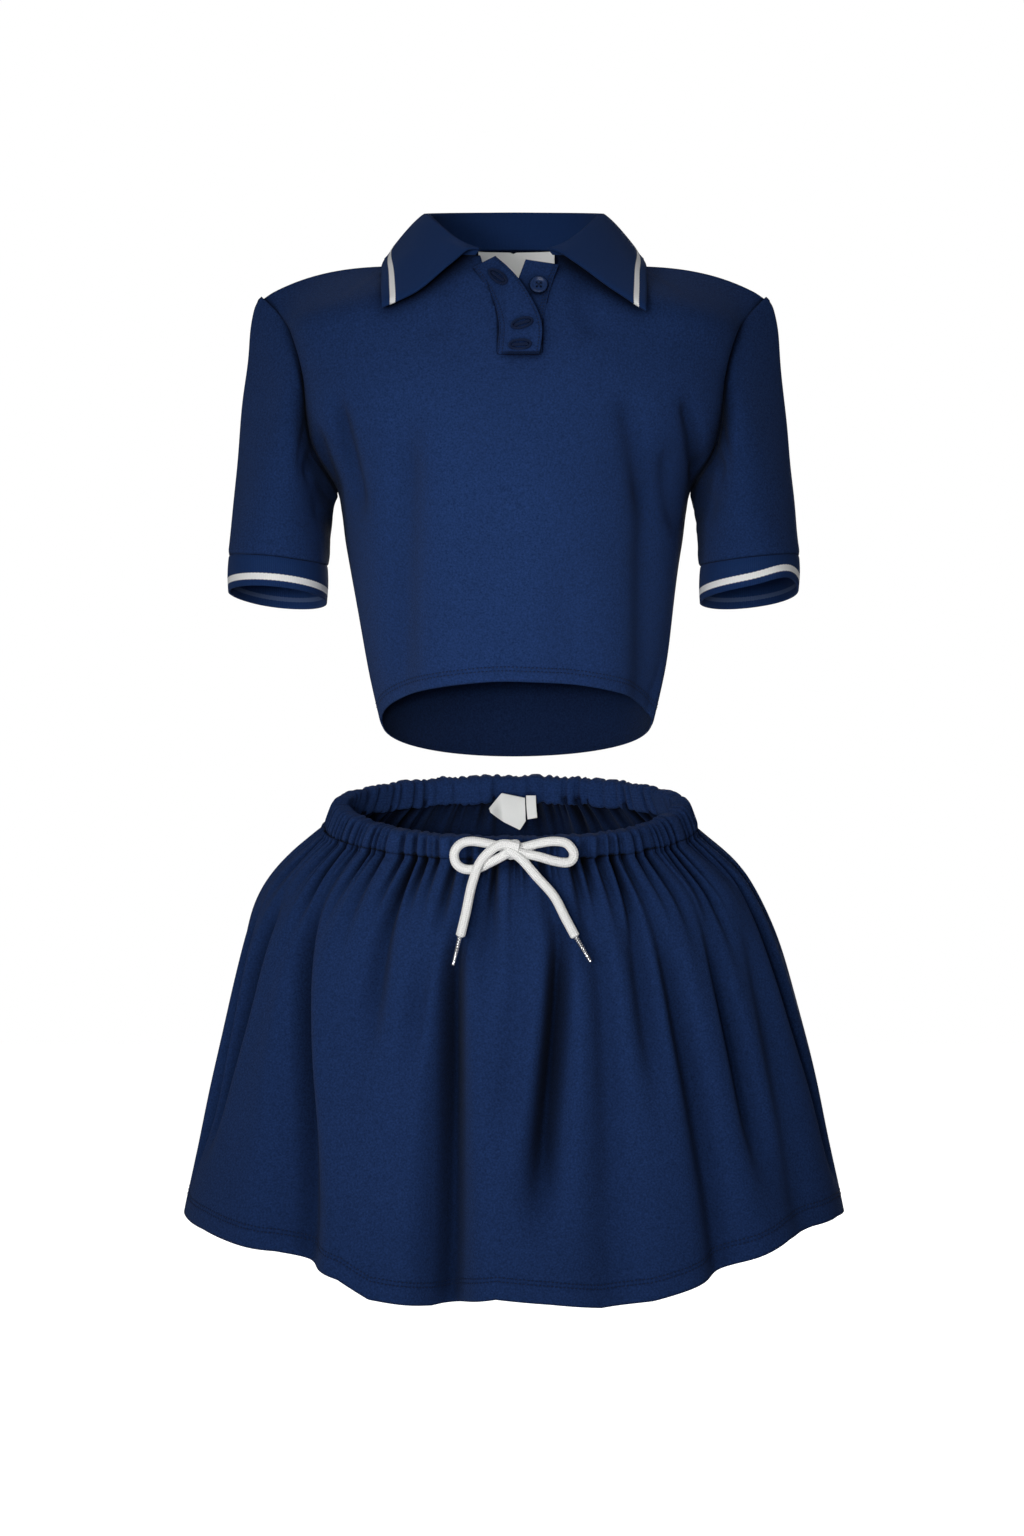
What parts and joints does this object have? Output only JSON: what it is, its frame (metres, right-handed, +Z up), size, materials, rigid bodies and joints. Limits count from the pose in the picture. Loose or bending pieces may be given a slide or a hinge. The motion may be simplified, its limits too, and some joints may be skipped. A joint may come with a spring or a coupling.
{
  "type": "cheer uniform",
  "caption": "Two-piece cheer uniform: a cropped knit polo top with striped rib collar and cuffs, over a gathered skirt with a tied drawcord waist.",
  "frame": {"origin": "centre of the set's footprint at the height of the lowest point of the skirt's front hem", "axes": "+Z up through the neck; the garments face -Y; the wearer's left is +X"},
  "size_m": [0.5278, 0.333, 0.8596],
  "materials": {
    "navy_knit": "matte fine knit, slightly brushed",
    "navy_rib": "flat-knit rib with one white stripe near its free edge",
    "white_label": "white woven label satin",
    "white_tape": "narrow woven stay tape",
    "elastic": "woven braided elastic",
    "white_cord": "round braided polyester cord",
    "navy_button": "semi-gloss moulded resin",
    "navy_thread": "spun sewing thread",
    "steel": "bright plated wire"
  },
  "bodies": {
    "top": {"front_panel": "navy_knit", "back_panel": "navy_knit", "collar_stand": "navy_rib", "collar_back_fall": "navy_rib", "button_band": "navy_knit", "buttonhole_band": "navy_knit", "right_shoulder_tape": "white_tape", "left_shoulder_tape": "white_tape"},
    "right_sleeve": {"right_sleeve": "navy_knit", "right_cuff": "navy_rib"},
    "left_sleeve": {"left_sleeve": "navy_knit", "left_cuff": "navy_rib"},
    "right_collar": {"right_collar_leaf": "navy_rib"},
    "left_collar": {"left_collar_leaf": "navy_rib"},
    "placket_corner": {"placket_lapel": "navy_knit"},
    "top_button": {"button_1": "navy_button", "button_thread_1": "navy_thread"},
    "middle_button": {"button_2": "navy_button", "button_thread_2": "navy_thread"},
    "bottom_button": {"button_3": "navy_button", "button_thread_3": "navy_thread"},
    "neck_label": {"neck_label": "white_label"},
    "skirt": {"waistband_casing": "navy_knit", "waist_elastic": "elastic", "drawcord": "white_cord", "bow_knot": "white_cord", "skirt_front_upper": "navy_knit", "skirt_back_upper": "navy_knit"},
    "skirt_front": {"skirt_front_hem": "navy_knit"},
    "skirt_back": {"skirt_back_hem": "navy_knit"},
    "right_loop": {"right_bow_loop": "white_cord"},
    "left_loop": {"left_bow_loop": "white_cord"},
    "right_tail": {"right_cord_tail": "white_cord", "right_aglet": "steel"},
    "left_tail": {"left_cord_tail": "white_cord", "left_aglet": "steel"},
    "care_label": {"care_label": "white_label"},
    "size_label": {"size_label": "white_label"}
  },
  "joints": [
    {"name": "right_sleeve_lift", "type": "hinge", "parent": "top", "child": "right_sleeve", "pos_m": [-0.2055, 0, 0.7785], "axis": [0, 1, 0], "range_deg": [0, 30], "stiffness_Nm_per_rad": 2},
    {"name": "left_sleeve_lift", "type": "hinge", "parent": "top", "child": "left_sleeve", "pos_m": [0.2055, 0, 0.7785], "axis": [0, -1, 0], "range_deg": [0, 30], "stiffness_Nm_per_rad": 2},
    {"name": "right_collar_turn_up", "type": "hinge", "parent": "top", "child": "right_collar", "pos_m": [-0.04811, -0.0392, 0.82778], "axis": [-0.4598, 0.7932, 0.3993], "range_deg": [0, 75], "stiffness_Nm_per_rad": 0.05},
    {"name": "left_collar_turn_up", "type": "hinge", "parent": "top", "child": "left_collar", "pos_m": [0.04811, -0.0392, 0.82778], "axis": [-0.4598, -0.7932, -0.3993], "range_deg": [0, 75], "stiffness_Nm_per_rad": 0.05},
    {"name": "placket_corner_fold", "type": "hinge", "parent": "top", "child": "placket_corner", "pos_m": [-0.00425, -0.09068, 0.778], "axis": [0.8102, -0.1839, -0.5565], "range_deg": [0, 90], "stiffness_Nm_per_rad": 0.02},
    {"name": "top_button_twist", "type": "hinge", "parent": "top", "child": "top_button", "pos_m": [0.0192, -0.08532, 0.77889], "axis": [0, -0.953, 0.303], "range_deg": [-30, 30], "stiffness_Nm_per_rad": 0.01},
    {"name": "middle_button_twist", "type": "hinge", "parent": "top", "child": "middle_button", "pos_m": [0.0062, -0.09535, 0.74839], "axis": [0, -0.953, 0.303], "range_deg": [-30, 30], "stiffness_Nm_per_rad": 0.01},
    {"name": "bottom_button_twist", "type": "hinge", "parent": "top", "child": "bottom_button", "pos_m": [0.0046, -0.10061, 0.73189], "axis": [0, -0.953, 0.303], "range_deg": [-30, 30], "stiffness_Nm_per_rad": 0.01},
    {"name": "neck_label_flip", "type": "hinge", "parent": "top", "child": "neck_label", "pos_m": [0, 0.0665, 0.825], "axis": [-1, 0, 0], "range_deg": [0, 40], "stiffness_Nm_per_rad": 0.02},
    {"name": "skirt_drop", "type": "slide", "parent": "top", "child": "skirt", "axis": [0, 0, -1], "range_m": [0, 0.2]},
    {"name": "skirt_front_swing", "type": "hinge", "parent": "skirt", "child": "skirt_front", "pos_m": [0, -0.13776, 0.2624], "axis": [-1, 0, 0], "range_deg": [0, 30], "stiffness_Nm_per_rad": 8},
    {"name": "skirt_back_swing", "type": "hinge", "parent": "skirt", "child": "skirt_back", "pos_m": [0, 0.13776, 0.29796], "axis": [1, 0, 0], "range_deg": [0, 30], "stiffness_Nm_per_rad": 8},
    {"name": "right_loop_swing", "type": "hinge", "parent": "skirt", "child": "right_loop", "pos_m": [-0.001, -0.1225, 0.341], "axis": [0, 1, 0], "range_deg": [-20, 25], "stiffness_Nm_per_rad": 0.05},
    {"name": "left_loop_swing", "type": "hinge", "parent": "skirt", "child": "left_loop", "pos_m": [-0.001, -0.1225, 0.341], "axis": [0, -1, 0], "range_deg": [-20, 25], "stiffness_Nm_per_rad": 0.05},
    {"name": "right_tail_swing", "type": "hinge", "parent": "skirt", "child": "right_tail", "pos_m": [-0.001, -0.1225, 0.341], "axis": [0, 1, 0], "range_deg": [-15, 30], "stiffness_Nm_per_rad": 0.05},
    {"name": "left_tail_swing", "type": "hinge", "parent": "skirt", "child": "left_tail", "pos_m": [-0.001, -0.1225, 0.341], "axis": [0, -1, 0], "range_deg": [-15, 30], "stiffness_Nm_per_rad": 0.05},
    {"name": "care_label_flip", "type": "hinge", "parent": "skirt", "child": "care_label", "pos_m": [-0.006, 0.088, 0.3865], "axis": [-1, 0, 0], "range_deg": [0, 80], "stiffness_Nm_per_rad": 0.02},
    {"name": "size_label_flip", "type": "hinge", "parent": "skirt", "child": "size_label", "pos_m": [0.0145, 0.0865, 0.385], "axis": [-1, 0, 0], "range_deg": [0, 80], "stiffness_Nm_per_rad": 0.02}
  ]
}
